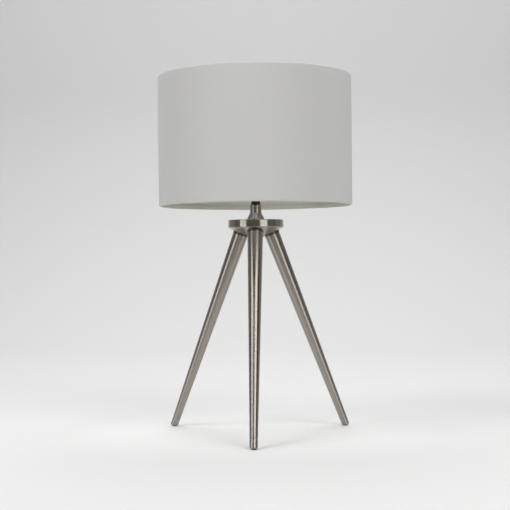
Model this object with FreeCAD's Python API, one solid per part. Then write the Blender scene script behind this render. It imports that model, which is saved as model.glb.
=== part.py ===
"""A tripod table lamp: three tapered legs in a domed hub, a lampholder and a drum shade.

The origin is on the table, in the middle of the three feet. +Z is up and one leg comes
forward along -Y. Sizes are in millimetres and angles in degrees.
"""
import FreeCAD, Part
import math
import os

# Stand
foot_circle_radius = 164.0      # lamp axis to the middle of a foot, on the table
splay_angle = 23.25             # lean of a leg from upright
leg_seat_radius = 27.0          # lamp axis to the middle of a leg's top end
leg_sides = ("front", "right", "left")
front_leg_angle = -90.0         # turn of the front leg about the lamp axis, from +X

# Leg tube, its threaded plug and the stud that holds it to the hub
leg_top_diameter = 24.3
leg_end_diameter = 12.4
leg_wall = 1.5
leg_top_chamfer = 0.6           # with the gap in its seat, the dark line round the top of a leg
leg_plug_length = 16.0
stud_diameter = 8.0
stud_in_leg = 12.0
stud_in_hub = 12.0
stud_chamfer = 0.8

# Foot: a turned tip pushed into the leg, with a rubber pad cut level with the table
tip_height = 16.0               # along the leg, from the table to the end of the tube
tip_spigot_length = 20.0
joint_chamfer = 0.4             # the fine V line round the joint of tip and tube
pad_thickness = 2.5
pad_edge = 0.6
pad_stem_diameter = 4.0
pad_stem_length = 9.0

# Hub
hub_diameter = 87.4
hub_rim_height = 12.0
hub_edge = 1.0
hub_flat_radius = 14.0          # level ring in the middle of the underside
hub_dome_rise = 0.9             # rise of the rounded underside over a straight cone
leg_seat_depth = 1.6            # leg's end below that cone, measured along the leg
hub_recess_diameter = 22.4
hub_recess_depth = 11.0

# Neck and the threaded pipe through it
pipe_diameter = 10.0
pipe_bore = 7.4
pipe_below_nut = 2.0
pipe_into_cap = 2.0
neck_diameter = 18.3
neck_foot_diameter = 27.6
neck_foot_height = 1.8
neck_flare_height = 9.1
neck_height = 23.9
neck_chamfer = 0.6
washer_diameter = 19.0
washer_thickness = 1.5
nut_across_flats = 14.0
nut_height = 4.0

# Cord bush in the hub's underside
bush_bore = 7.2
bush_flange_diameter = 25.2
bush_flange_thickness = 1.8
bush_flange_chamfer = 0.9
bush_floor = 1.0                # web of the bush inside the recess
bush_wall = 1.5
bush_depth = 5.0

# Lampholder
collar_diameter = 13.9
collar_height = 8.0
cap_diameter = 41.0
cap_dome_height = 7.0
cap_height = 17.8               # top of the collar to the rim
cap_wall = 2.2
shoulder_diameter = 46.0
shoulder_height = 5.0
skirt_diameter = 39.0
skirt_height = 22.0
skirt_chamfer = 0.8
block_flange_height = 2.0
block_above_rim = 2.0
shell_wall = 0.5
shell_lip = 4.0
shell_below_skirt = 2.0
contact_height = 3.5
contact_width = 7.0
contact_length = 15.0
contact_top_length = 6.0
contact_thickness = 0.6
grub_diameter = 2.6
grub_length = 2.6
grub_height = 4.8               # above the foot of the collar

# Turn switch, out to +X
switch_height = 12.0            # above the top of the collar
switch_boss_diameter = 11.0
switch_boss_length = 3.5
switch_shaft_diameter = 4.0
switch_shaft_depth = 14.5       # into the lampholder from the end of the boss
switch_shaft_in_knob = 8.0
knob_diameter = 9.6
knob_tip_diameter = 9.0
knob_length = 12.0
knob_edge = 0.8
knob_flutes = 10
knob_flute_diameter = 1.6

# Shade nut
nut_flange_diameter = 54.0
nut_flange_thickness = 2.5
nut_grip_diameter = 46.0
nut_grip_height = 5.5
nut_scallops = 18
nut_scallop_diameter = 5.0

# Bulb
bulb_length = 106.0
bulb_diameter = 60.0
bulb_neck_diameter = 24.6
bulb_neck_in_cap = 13.0
bulb_waist_angle = 41.8         # slope of the glass where the neck meets the ball
bulb_glass = 0.8
bulb_inside_steps = 5           # straight steps that stand for each arc inside the glass
bulb_cap_diameter = 26.3
bulb_cap_wall = 0.4
bulb_cap_lip = 1.7
bulb_cap_foot = 4.0             # foot of the metal cap above the tip
bulb_cap_straight = 17.0
bulb_cap_flare = 4.0
bulb_cap_mouth_diameter = 28.2
bulb_insulator_foot_diameter = 10.4
bulb_insulator_rise = 2.0
bulb_tip_diameter = 9.6
bulb_tip_height = 1.2

# Shade
shade_diameter = 304.8
shade_height = 203.2
shade_recess = 32.6             # bottom edge of the shade to the underside of its fitter ring
fabric = 0.5
liner = 0.5
shade_wire = 3.2
shade_roll_height = 6.0         # fabric turned over each wire ring
fitter_outer_diameter = 60.0
fitter_thickness = 1.6
shade_arm_bend = 8.0
shade_arm_count = 3
back_arm_angle = 90.0           # turn of the first arm about the lamp axis, from +X
wire_ring_sides = 8             # hidden under the fabric, with a flat top for the arms

# Clearances
press_gap = 0.05                # between pieces pushed, glued or screwed together
shaft_gap = 0.08                # round the switch shaft
turning_gap = 0.3               # between pieces that turn past each other
fitter_gap = 0.5                # round the lampholder in the hole of the fitter ring
seat_gap = 0.8                  # round a leg in its seat

# Angles, heights and radii that follow
leg_step = 360.0 / len(leg_sides)
leg_azimuths = {side: front_leg_angle + leg_step * index for index, side in enumerate(leg_sides)}
leg_top = (foot_circle_radius - leg_seat_radius) / math.sin(math.radians(splay_angle))
leg_seat_z = (foot_circle_radius - leg_seat_radius) / math.tan(math.radians(splay_angle))
leg_top_radius = leg_top_diameter / 2
leg_end_radius = leg_end_diameter / 2
leg_bore_top = leg_top_radius - leg_wall
leg_bore_end = leg_end_radius - leg_wall
stud_radius = stud_diameter / 2
hub_radius = hub_diameter / 2


def hub_cone_z(radius):
    """Height of the straight cone under the hub, which lies square to the legs."""
    lean = math.radians(splay_angle)
    return leg_seat_z - leg_seat_depth / math.cos(lean) + (radius - leg_seat_radius) * math.tan(lean)


hub_bottom = hub_cone_z(hub_flat_radius)
hub_rim_bottom = hub_cone_z(hub_radius)
hub_top = hub_rim_bottom + hub_rim_height
hub_ledge = hub_bottom + hub_recess_depth
pipe_radius = pipe_diameter / 2
pipe_hole = pipe_radius + press_gap
neck_top = hub_top + neck_height
collar_top = neck_top + collar_height
cap_shoulder = collar_top + cap_dome_height
cap_rim = collar_top + cap_height
cap_radius = cap_diameter / 2
cap_inside = cap_radius - cap_wall
ring_seat = cap_rim + shoulder_height
skirt_radius = skirt_diameter / 2
skirt_top = ring_seat + skirt_height
bulb_cap_radius = bulb_cap_diameter / 2
shell_inside = bulb_cap_radius + turning_gap
shell_outside = shell_inside + shell_wall
holder_bore = shell_outside + press_gap
block_top = cap_rim + block_above_rim
bulb_foot = block_top + contact_height
switch_z = collar_top + switch_height
switch_boss_end = cap_radius + switch_boss_length
switch_shaft_end = switch_boss_end - switch_shaft_depth
fitter_top = ring_seat + fitter_thickness
shade_bottom = ring_seat - shade_recess
shade_top = shade_bottom + shade_height
shade_radius = shade_diameter / 2
liner_outside = shade_radius - fabric - press_gap
wire_radius = shade_wire / 2
wire_circle = liner_outside - liner - press_gap - wire_radius
wire_inset = fabric + press_gap + wire_radius

origin = FreeCAD.Vector(0, 0, 0)
x_axis = FreeCAD.Vector(1, 0, 0)
y_axis = FreeCAD.Vector(0, 1, 0)
z_axis = FreeCAD.Vector(0, 0, 1)


def at(radius, height):
    """A point of an outline, in the plane that is turned about the lamp axis."""
    return FreeCAD.Vector(radius, 0, height)


def outline(steps):
    """Close steps into a wire: a step is a corner, or the two points that end an arc."""
    edges = []
    here = steps[0]
    for step in steps[1:] + steps[:1]:
        if isinstance(step[0], tuple):
            through, there = step
            edges.append(Part.Arc(at(*here), at(*through), at(*there)).toShape())
        else:
            there = step
            edges.append(Part.LineSegment(at(*here), at(*there)).toShape())
        here = there
    return Part.Wire(edges)


def turned(steps):
    """A piece turned about Z from an outline of (radius, height) steps."""
    return Part.Face(outline(steps)).revolve(origin, z_axis, 360)


def tube(inner, outer, low, high):
    """A plain tube about Z, given by two radii and two heights."""
    return turned([(inner, low), (outer, low), (outer, high), (inner, high)])


def rod(radius, low, high):
    """A plain round rod on Z."""
    return Part.makeCylinder(radius, high - low, at(0, low))


def round_corner(radius, height, size, towards_radius, towards_height):
    """Arc that rounds the corner at (radius, height) from its height side to its radius side."""
    start = (radius, height + towards_height * size)
    inset = size * (1 - math.sqrt(0.5))
    middle = (radius + towards_radius * inset, height + towards_height * inset)
    end = (radius + towards_radius * size, height)
    return start, middle, end


def level_slab(low, high):
    """A wide slab between two heights, to cut leaning pieces level."""
    side = 4 * foot_circle_radius
    return Part.makeBox(side, side, high - low, FreeCAD.Vector(-side / 2, -side / 2, low))


def along_leg(shape, azimuth):
    """Stand an upright shape on a foot's middle and lean it in along that leg."""
    stood = shape.copy()
    stood.rotate(origin, y_axis, -splay_angle)
    stood.translate(FreeCAD.Vector(foot_circle_radius, 0, 0))
    stood.rotate(origin, z_axis, azimuth)
    return stood


def out_along_x(shape, height):
    """Lay an upright shape down along +X at a height."""
    laid = shape.copy()
    laid.rotate(origin, y_axis, 90)
    laid.translate(at(0, height))
    return laid


def ring_of(shape, count):
    """Copies of a shape, evenly turned about Z."""
    copies = []
    for index in range(count):
        copy = shape.copy()
        copy.rotate(origin, z_axis, 360.0 * index / count)
        copies.append(copy)
    return copies


# Legs and feet

def leg_tube():
    """Tapered tube, bored straight at both ends for the tip and the plug."""
    spigot_top = tip_height + tip_spigot_length
    plug_foot = leg_top - leg_plug_length
    return turned([
        (leg_bore_end, tip_height), (leg_end_radius - joint_chamfer, tip_height),
        (leg_end_radius, tip_height + joint_chamfer), (leg_top_radius, leg_top - leg_top_chamfer),
        (leg_top_radius - leg_top_chamfer, leg_top), (leg_bore_top, leg_top), (leg_bore_top, plug_foot),
        (leg_bore_end, spigot_top)])


def leg_plug():
    """Threaded plug pressed into the top of a leg, level with its end."""
    return tube(stud_radius + press_gap, leg_bore_top - press_gap, leg_top - leg_plug_length, leg_top)


def leg_stud():
    """Stud with chamfered ends, half in the plug and half in the hub."""
    foot = leg_top - stud_in_leg
    head = leg_top + stud_in_hub
    narrow = stud_radius - stud_chamfer
    return turned([
        (0, foot), (narrow, foot), (stud_radius, foot + stud_chamfer),
        (stud_radius, head - stud_chamfer), (narrow, head), (0, head)])


def foot_tip(azimuth):
    """Turned tip with a spigot up the leg and a hole for the stem of the pad."""
    spigot_radius = leg_bore_end - press_gap
    spigot_top = tip_height + tip_spigot_length
    stem_hole = pad_stem_diameter / 2 + press_gap
    blank = turned([
        (0, -tip_height), (leg_end_radius, -tip_height), (leg_end_radius, tip_height - joint_chamfer),
        (leg_end_radius - joint_chamfer, tip_height), (spigot_radius, tip_height),
        (spigot_radius, spigot_top - stud_chamfer), (spigot_radius - stud_chamfer, spigot_top),
        (0, spigot_top)])
    blank = blank.cut(rod(stem_hole, -tip_height, pad_stem_length + press_gap))
    return along_leg(blank, azimuth).common(level_slab(pad_thickness, leg_seat_z))


def foot_pad(azimuth):
    """Rubber pad under the tip: its foot is level, its edge is eased and its stem leans."""
    side = along_leg(rod(leg_end_radius, -tip_height, tip_height), azimuth)
    disc = side.common(level_slab(0, pad_thickness))
    foot_edges = [edge for edge in disc.Edges if edge.BoundBox.ZMax < pad_thickness / 2]
    disc = disc.makeChamfer(pad_edge, foot_edges)
    stem = along_leg(rod(pad_stem_diameter / 2, 0, pad_stem_length), azimuth)
    return disc.fuse(stem.common(level_slab(pad_thickness, leg_seat_z))).removeSplitter()


# Hub, neck and pipe

def hub_blank():
    """Hub before its seats: rounded rim, domed underside and a recess for the nut."""
    lean = math.radians(splay_angle)
    middle = (hub_radius + hub_flat_radius) / 2
    dome = (middle + hub_dome_rise * math.sin(lean), hub_cone_z(middle) - hub_dome_rise * math.cos(lean))
    rim_foot = (hub_radius - hub_edge, hub_cone_z(hub_radius - hub_edge))
    rim_turn = (hub_radius - hub_edge * (1 - math.sqrt(0.5)), hub_rim_bottom)
    top_start, top_middle, top_end = round_corner(hub_radius, hub_top, hub_edge, -1, -1)
    recess = hub_recess_diameter / 2
    return turned([
        (recess, hub_bottom), (hub_flat_radius, hub_bottom), (dome, rim_foot),
        (rim_turn, (hub_radius, hub_rim_bottom + hub_edge)), top_start, (top_middle, top_end),
        (pipe_hole, hub_top), (pipe_hole, hub_ledge), (recess, hub_ledge)])


def hub():
    """Hub with a round seat square to each leg and a blind hole for each stud."""
    shape = hub_blank()
    seat = rod(leg_top_radius + seat_gap, leg_top - leg_plug_length, leg_top)
    hole = rod(stud_radius + press_gap, leg_top, leg_top + stud_in_hub + press_gap)
    for azimuth in leg_azimuths.values():
        shape = shape.cut(along_leg(seat.fuse(hole), azimuth))
    return shape


def neck():
    """Turned neck: a foot, a straight flare and a plain stem with a broken top edge."""
    stem = neck_diameter / 2
    foot = neck_foot_diameter / 2
    return turned([
        (pipe_hole, hub_top), (foot, hub_top), (foot, hub_top + neck_foot_height),
        (stem, hub_top + neck_foot_height + neck_flare_height), (stem, neck_top - neck_chamfer),
        (stem - neck_chamfer, neck_top), (pipe_hole, neck_top)])


def threaded_pipe():
    """Hollow pipe that clamps hub, neck and lampholder together."""
    foot = hub_ledge - washer_thickness - nut_height - pipe_below_nut
    return tube(pipe_bore / 2, pipe_radius, foot, collar_top + pipe_into_cap)


def pipe_washer():
    """Flat washer against the ledge in the hub's recess."""
    return tube(pipe_hole, washer_diameter / 2, hub_ledge - washer_thickness, hub_ledge)


def pipe_nut():
    """Six-sided nut under the washer."""
    corner_radius = nut_across_flats / math.sqrt(3)
    foot = hub_ledge - washer_thickness - nut_height
    corners = []
    for index in range(7):
        angle = math.radians(60 * index)
        corners.append(FreeCAD.Vector(corner_radius * math.cos(angle), corner_radius * math.sin(angle), foot))
    prism = Part.Face(Part.makePolygon(corners)).extrude(at(0, nut_height))
    return prism.cut(rod(pipe_hole, foot, foot + nut_height))


def cord_bush():
    """Flanged bush pushed into the recess, with the hole that a cord leaves by."""
    bore = bush_bore / 2
    flange = bush_flange_diameter / 2
    outer = hub_recess_diameter / 2 - press_gap
    foot = hub_bottom - bush_flange_thickness
    edge = bush_flange_chamfer
    return turned([
        (bore, foot), (flange - edge, foot), (flange, foot + edge), (flange, hub_bottom), (outer, hub_bottom),
        (outer, hub_bottom + bush_depth), (outer - bush_wall, hub_bottom + bush_depth),
        (outer - bush_wall, hub_bottom + bush_floor), (bore, hub_bottom + bush_floor)])


# Lampholder

def quarter_turn(inner, outer, low, high):
    """Point half way round the swept corner from (inner, low) up to (outer, high)."""
    return (inner + (outer - inner) * math.sqrt(0.5), high - (high - low) * math.sqrt(0.5))


def lampholder_cap():
    """Moulded cap: narrow collar, dome over a coned inside, straight wall, switch boss and screw hole."""
    collar = collar_diameter / 2
    inside_low = collar_top + cap_wall
    shell = turned([
        (pipe_hole, neck_top), (collar, neck_top), (collar, collar_top),
        (quarter_turn(collar, cap_radius, collar_top, cap_shoulder), (cap_radius, cap_shoulder)),
        (cap_radius, cap_rim), (cap_inside, cap_rim), (cap_inside, cap_shoulder), (collar, inside_low),
        (pipe_hole, inside_low)])
    boss = out_along_x(rod(switch_boss_diameter / 2, cap_inside + cap_wall / 2, switch_boss_end), switch_z)
    shaft_hole = out_along_x(rod(switch_shaft_diameter / 2 + shaft_gap, 0, switch_boss_end), switch_z)
    grub_hole = out_along_x(rod(grub_diameter / 2 + press_gap, 0, collar_diameter), neck_top + grub_height)
    grub_hole.rotate(origin, z_axis, 90)
    return shell.fuse(boss).cut(shaft_hole).cut(grub_hole)


def collar_grub_screw():
    """Grub screw at the back of the collar that locks it to the pipe."""
    start = pipe_radius + press_gap
    screw = out_along_x(rod(grub_diameter / 2, start, start + grub_length), neck_top + grub_height)
    screw.rotate(origin, z_axis, 90)
    return screw.cut(rod(pipe_hole, neck_top, collar_top))


def lampholder_body():
    """Skirt with the shoulder that carries the shade and a spigot down into the cap."""
    spigot_foot = cap_shoulder + block_flange_height
    spigot = cap_inside - press_gap
    shoulder = shoulder_diameter / 2
    shape = turned([
        (holder_bore, spigot_foot), (spigot, spigot_foot), (spigot, cap_rim), (shoulder, cap_rim),
        (shoulder, ring_seat), (skirt_radius, ring_seat), (skirt_radius, skirt_top - skirt_chamfer),
        (skirt_radius - skirt_chamfer, skirt_top), (holder_bore, skirt_top)])
    shaft_hole = out_along_x(rod(switch_shaft_diameter / 2 + shaft_gap, 0, cap_radius), switch_z)
    return shape.cut(shaft_hole)


def switch_block():
    """Moulded inner block: carries both contacts and holds the end of the switch shaft."""
    flange = cap_inside - press_gap
    barrel = holder_bore - press_gap
    flange_top = cap_shoulder + block_flange_height
    shape = turned([
        (0, cap_shoulder), (flange, cap_shoulder), (flange, flange_top), (barrel, flange_top),
        (barrel, block_top), (0, block_top)])
    hole = rod(switch_shaft_diameter / 2 + shaft_gap, switch_shaft_end - press_gap, cap_radius)
    return shape.cut(out_along_x(hole, switch_z))


def screw_shell():
    """Thin shell that takes the bulb's thread, with a lip flat on the block."""
    lip = shell_inside - shell_lip
    top = skirt_top - shell_below_skirt
    return turned([
        (lip, block_top), (shell_outside, block_top), (shell_outside, top), (shell_inside, top),
        (shell_inside, block_top + shell_wall), (lip, block_top + shell_wall)])


def centre_contact():
    """Bent strip on the block that touches the tip of the bulb."""
    half_foot = contact_length / 2
    half_top = contact_top_length / 2
    half_rise = half_top + contact_height / 2
    low = block_top
    profile = outline([
        (-half_foot, low), (-half_rise, low), (-half_top, bulb_foot - contact_thickness),
        (half_top, bulb_foot - contact_thickness), (half_rise, low), (half_foot, low),
        (half_foot, low + contact_thickness), (half_rise + contact_thickness, low + contact_thickness),
        (half_top + contact_thickness, bulb_foot), (-half_top - contact_thickness, bulb_foot),
        (-half_rise - contact_thickness, low + contact_thickness), (-half_foot, low + contact_thickness)])
    strip = Part.Face(profile).extrude(FreeCAD.Vector(0, contact_width, 0))
    strip.translate(FreeCAD.Vector(0, -contact_width / 2, 0))
    return strip


def switch_shaft():
    """Plain shaft from the block out into the knob."""
    shaft = rod(switch_shaft_diameter / 2, switch_shaft_end, switch_boss_end + switch_shaft_in_knob)
    return out_along_x(shaft, switch_z)


def switch_knob():
    """Tapered knob with a blind bore and flutes for the fingers."""
    start = switch_boss_end + turning_gap
    end = start + knob_length
    foot = knob_diameter / 2
    tip = knob_tip_diameter / 2
    blank = turned([
        (0, start), (foot, start), (tip, end - knob_edge), (tip - knob_edge, end), (0, end)])
    bore_end = switch_boss_end + switch_shaft_in_knob + press_gap
    blank = blank.cut(rod(switch_shaft_diameter / 2 + press_gap, start, bore_end))
    flute = Part.makeCylinder(knob_flute_diameter / 2, knob_length, at(foot, start + knob_edge))
    for cut in ring_of(flute, knob_flutes):
        blank = blank.cut(cut)
    return out_along_x(blank, switch_z)


def shade_nut():
    """Ring nut that clamps the shade: a scalloped flange under a round grip."""
    bore = skirt_radius + turning_gap
    flange_top = fitter_top + nut_flange_thickness
    flange = nut_flange_diameter / 2
    grip = nut_grip_diameter / 2
    blank = turned([
        (bore, fitter_top), (flange, fitter_top), (flange, flange_top), (grip, flange_top),
        (grip, flange_top + nut_grip_height), (bore, flange_top + nut_grip_height)])
    scallop_place = at(flange + nut_scallop_diameter / 4, fitter_top)
    scallop = Part.makeCylinder(nut_scallop_diameter / 2, nut_flange_thickness, scallop_place)
    for cut in ring_of(scallop, nut_scallops):
        blank = blank.cut(cut)
    return blank


# Bulb

def bulb_side(wall):
    """Neck, waist and ball of the glass at a depth under its outside, from foot to crown."""
    ball = bulb_diameter / 2
    centre = bulb_foot + bulb_length - ball
    ball = ball - wall
    neck_radius = bulb_neck_diameter / 2 - wall
    mouth = bulb_foot + bulb_cap_foot + bulb_cap_straight + bulb_cap_flare
    slope = math.radians(bulb_waist_angle)
    waist = (ball * math.cos(slope), centre - ball * math.sin(slope))
    chord_radius = waist[0] - neck_radius
    chord_height = waist[1] - mouth
    chord_slope = math.atan2(chord_radius, chord_height)
    sagitta = math.hypot(chord_radius, chord_height) / 2 * math.tan((slope - chord_slope) / 2)
    hollow = (neck_radius + chord_radius / 2 - sagitta * math.cos(chord_slope),
              mouth + chord_height / 2 + sagitta * math.sin(chord_slope))
    foot = (neck_radius, mouth - bulb_neck_in_cap)
    return foot, (neck_radius, mouth), hollow, waist, (ball, centre), (0, centre + ball)


def arc_steps(start, middle, end):
    """Even straight steps along the arc through three points, without its first point."""
    arc = Part.Arc(at(*start), at(*middle), at(*end)).toShape()
    return [(point.x, point.z) for point in arc.discretize(bulb_inside_steps + 1)[1:]]


def bulb_globe():
    """Blown glass globe, open at the foot of its neck."""
    foot, mouth, hollow, waist, side, crown = bulb_side(0)
    foot_in, mouth_in, hollow_in, waist_in, side_in, crown_in = bulb_side(bulb_glass)
    inside = arc_steps(mouth_in, hollow_in, waist_in) + arc_steps(waist_in, side_in, crown_in)
    return turned([foot, mouth, (hollow, waist), (side, crown)] + inside[::-1] + [mouth_in, foot_in])


def bulb_cap():
    """Thin metal cap with a flared mouth round the glass and a lip at its foot."""
    low = bulb_foot + bulb_cap_foot
    straight = low + bulb_cap_straight
    top = straight + bulb_cap_flare
    mouth = bulb_cap_mouth_diameter / 2
    lip = bulb_cap_radius - bulb_cap_lip
    inside = bulb_cap_radius - bulb_cap_wall
    return turned([
        (lip, low), (inside, low), (bulb_cap_radius, low + bulb_cap_wall), (bulb_cap_radius, straight),
        (mouth, top), (mouth - bulb_cap_wall, top), (inside, straight), (inside, low + bulb_cap_wall),
        (lip, low + bulb_cap_wall)])


def bulb_insulator():
    """Dark cone between the cap and the tip, held by the lip of the cap."""
    low = bulb_foot + bulb_tip_height
    waist = bulb_cap_radius - bulb_cap_lip - press_gap
    cap_low = bulb_foot + bulb_cap_foot
    flange = bulb_cap_radius - bulb_cap_wall - press_gap
    lip_top = cap_low + bulb_cap_wall
    return turned([
        (0, low), (bulb_insulator_foot_diameter / 2, low), (waist, cap_low), (waist, lip_top),
        (flange, lip_top), (flange, lip_top + bulb_insulator_rise), (0, lip_top + bulb_insulator_rise)])


def bulb_tip():
    """Contact under the insulator."""
    return rod(bulb_tip_diameter / 2, bulb_foot, bulb_foot + bulb_tip_height)


# Shade

def rolled_edge(edge, inward):
    """Outline of the fabric round one wire ring, from the outside wall to the inside wall.

    The edge is the height of the rim, and inward is 1 where the shade lies above it, else -1.
    """
    roll = wire_radius + press_gap + fabric
    hem = wire_circle - roll
    return [
        (shade_radius, edge + inward * fabric), (shade_radius - fabric, edge),
        (hem + roll / 2, edge), (hem, edge + inward * roll / 2),
        (hem, edge + inward * shade_roll_height), (hem + fabric, edge + inward * shade_roll_height),
        (hem + fabric, edge + inward * (roll / 2 + fabric / 2)),
        (hem + roll / 2 + fabric / 2, edge + inward * fabric),
        (shade_radius - fabric, edge + inward * fabric)]


def shade_cover():
    """Straight drum of fabric, turned in over a wire ring at each edge."""
    return turned(rolled_edge(shade_bottom, 1) + rolled_edge(shade_top, -1)[::-1])


def shade_liner():
    """Stiff white liner inside the fabric."""
    edge = fabric + press_gap
    return tube(liner_outside - liner, liner_outside, shade_bottom + edge, shade_top - edge)


def shade_ring(height):
    """Wire ring against the liner, in flats all round its section."""
    corners = []
    for index in range(wire_ring_sides):
        angle = 2 * math.pi * (index + 0.5) / wire_ring_sides
        reach = wire_radius / math.cos(math.pi / wire_ring_sides)
        corners.append((wire_circle + reach * math.cos(angle), height + reach * math.sin(angle)))
    return turned(corners)


def shade_fitter_ring():
    """Flat ring that lies on the lampholder's shoulder."""
    return tube(skirt_radius + fitter_gap, fitter_outer_diameter / 2, ring_seat, fitter_top)


def shade_arm():
    """Wire arm from the edge of the fitter ring, bent down on to the top of the lower wire ring."""
    level = ring_seat + fitter_thickness / 2
    start = fitter_outer_diameter / 2
    inset = shade_arm_bend * (1 - math.sqrt(0.5))
    bend_start = at(wire_circle - shade_arm_bend, level)
    bend_middle = at(wire_circle - inset, level - inset)
    bend_end = at(wire_circle, level - shade_arm_bend)
    path = Part.Wire([
        Part.LineSegment(at(start, level), bend_start).toShape(),
        Part.Arc(bend_start, bend_middle, bend_end).toShape(),
        Part.LineSegment(bend_end, at(wire_circle, shade_bottom + wire_inset + wire_radius)).toShape()])
    section = Part.Wire(Part.Circle(at(start, level), x_axis, wire_radius).toShape())
    return path.makePipeShell([section], True, False)


def shade_arms():
    """The arms, one straight out to the back."""
    arms = ring_of(shade_arm(), shade_arm_count)
    for arm in arms:
        arm.rotate(origin, z_axis, back_arm_angle)
    return Part.makeCompound(arms)


def leg_pieces():
    """Every piece of the three legs, by name."""
    pieces = {}
    studs = []
    for side, azimuth in leg_azimuths.items():
        pieces["leg_" + side] = along_leg(leg_tube(), azimuth)
        pieces["leg_plug_" + side] = along_leg(leg_plug(), azimuth)
        pieces["foot_tip_" + side] = foot_tip(azimuth)
        pieces["foot_pad_" + side] = foot_pad(azimuth)
        studs.append(along_leg(leg_stud(), azimuth))
    pieces["leg_studs"] = Part.makeCompound(studs)
    return pieces


def lamp_pieces():
    """Every piece of the lamp, by name."""
    pieces = leg_pieces()
    pieces.update({
        "hub": hub(),
        "neck": neck(),
        "threaded_pipe": threaded_pipe(),
        "pipe_washer": pipe_washer(),
        "pipe_nut": pipe_nut(),
        "cord_bush": cord_bush(),
        "lampholder_cap": lampholder_cap(),
        "collar_grub_screw": collar_grub_screw(),
        "lampholder_body": lampholder_body(),
        "switch_block": switch_block(),
        "screw_shell": screw_shell(),
        "centre_contact": centre_contact(),
        "switch_shaft": switch_shaft(),
        "switch_knob": switch_knob(),
        "shade_nut": shade_nut(),
        "shade_fitter_ring": shade_fitter_ring(),
        "shade_arms": shade_arms(),
        "shade_bottom_ring": shade_ring(shade_bottom + wire_inset),
        "shade_top_ring": shade_ring(shade_top - wire_inset),
        "shade_liner": shade_liner(),
        "shade_cover": shade_cover(),
        "bulb_globe": bulb_globe(),
        "bulb_cap": bulb_cap(),
        "bulb_insulator": bulb_insulator(),
        "bulb_tip": bulb_tip(),
    })
    return pieces


os.makedirs("parts", exist_ok=True)
for node, shape in lamp_pieces().items():
    shape.exportStep("parts/" + node + ".step")
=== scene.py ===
"""Finish of a tripod table lamp: brushed legs, hub and neck, a drum shade, its lampholder and bulb."""
import math

import bmesh
import bpy
from mathutils import Matrix, Vector


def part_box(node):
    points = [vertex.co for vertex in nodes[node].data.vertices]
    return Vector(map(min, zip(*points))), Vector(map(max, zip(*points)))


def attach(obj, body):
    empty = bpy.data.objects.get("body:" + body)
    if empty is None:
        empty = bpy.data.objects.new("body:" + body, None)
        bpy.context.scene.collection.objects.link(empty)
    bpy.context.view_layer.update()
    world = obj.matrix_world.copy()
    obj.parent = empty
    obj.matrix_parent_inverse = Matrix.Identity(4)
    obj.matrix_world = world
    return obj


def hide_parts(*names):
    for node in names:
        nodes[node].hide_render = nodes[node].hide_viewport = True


bl_info = {
    "name": "Tripod table lamp",
    "version": (1, 0, 0),
    "blender": (4, 5, 0),
    "location": "3D Viewport > Sidebar > Lamp",
    "description": "Dresses a tripod table lamp and sets it on a plain stage",
    "category": "Object",
}

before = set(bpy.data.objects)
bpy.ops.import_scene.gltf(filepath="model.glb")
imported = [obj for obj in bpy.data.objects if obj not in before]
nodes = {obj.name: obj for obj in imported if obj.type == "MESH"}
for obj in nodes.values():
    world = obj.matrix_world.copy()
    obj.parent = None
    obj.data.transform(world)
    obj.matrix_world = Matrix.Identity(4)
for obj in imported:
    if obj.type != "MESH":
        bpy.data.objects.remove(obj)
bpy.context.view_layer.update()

MM = 0.001
TURN = 2 * math.pi
LEG_AZIMUTHS = {"front": 270.0, "right": 30.0, "left": 150.0}
SHARP_ANGLE = math.radians(32)
SMALL_ROUND, WIDE_ROUND = 96, 480


# ---------------------------------------------------------------------------
# Settings

def length_prop(name, description, default_mm):
    """A length, kept in metres and given here in millimetres."""
    return bpy.props.FloatProperty(
        name=name, description=description, default=default_mm * MM, precision=5,
        subtype="DISTANCE", unit="LENGTH")


def colour_prop(name, description, default):
    """A linear colour."""
    return bpy.props.FloatVectorProperty(
        name=name, description=description, default=default, size=3, min=0.0, max=1.0, subtype="COLOR")


def radiance_prop(name, description, default):
    """Brightness of a light, in watts per square metre and steradian."""
    return bpy.props.FloatProperty(name=name, description=description, default=default, min=0.0)


class LampMetalSettings(bpy.types.PropertyGroup):
    """Finish of the legs, hub and neck."""
    nickel: colour_prop("Nickel", "Colour of the brushed plate", (0.355, 0.328, 0.290))
    brush_pitch: length_prop("Brush pitch", "Typical width of a brushed line", 0.35)
    splay: bpy.props.FloatProperty(
        name="Splay", description="Lean of a leg from upright", default=math.radians(23.25), subtype="ANGLE")
    foot_circle: length_prop("Foot circle", "Lamp axis to the middle of a foot", 164.0)
    tip_radius: length_prop("Tip radius", "Radius of the tip at the foot of a leg", 6.2)
    tip_height: length_prop("Tip height", "Table to the joint of tip and tube, along the leg", 16.0)
    foot_slant: bpy.props.FloatProperty(
        name="Foot slant", default=math.radians(13.0), subtype="ANGLE",
        description="How far the end of the tip turns from square to the leg towards level")
    foot_rounding: length_prop("Foot rounding", "Radius of the rounded edge at the end of the tip", 1.9)
    glide_radius: length_prop("Glide radius", "Radius of the rubber glide in the end of the tip", 4.25)
    glide_dome: length_prop("Glide dome", "Radius of the dome on which the glide stands", 9.0)
    glide_step: length_prop("Glide step", "Height of the glide's straight rim", 0.3)
    glide_stem: length_prop("Glide stem", "Radius of the stem in the tip", 2.0)
    # The ring at the top of each leg is dark as painted shade for the gap between leg and hub.
    washer_radius: length_prop("Ring radius", "Outside of the blackened ring round the top of a leg", 12.6)
    washer_foot: length_prop("Ring foot", "Foot to the lower edge of that ring, along the leg", 342.6)
    washer_height: length_prop("Ring height", "Height of that ring, half of it in the hub's seat", 3.7)


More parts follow.
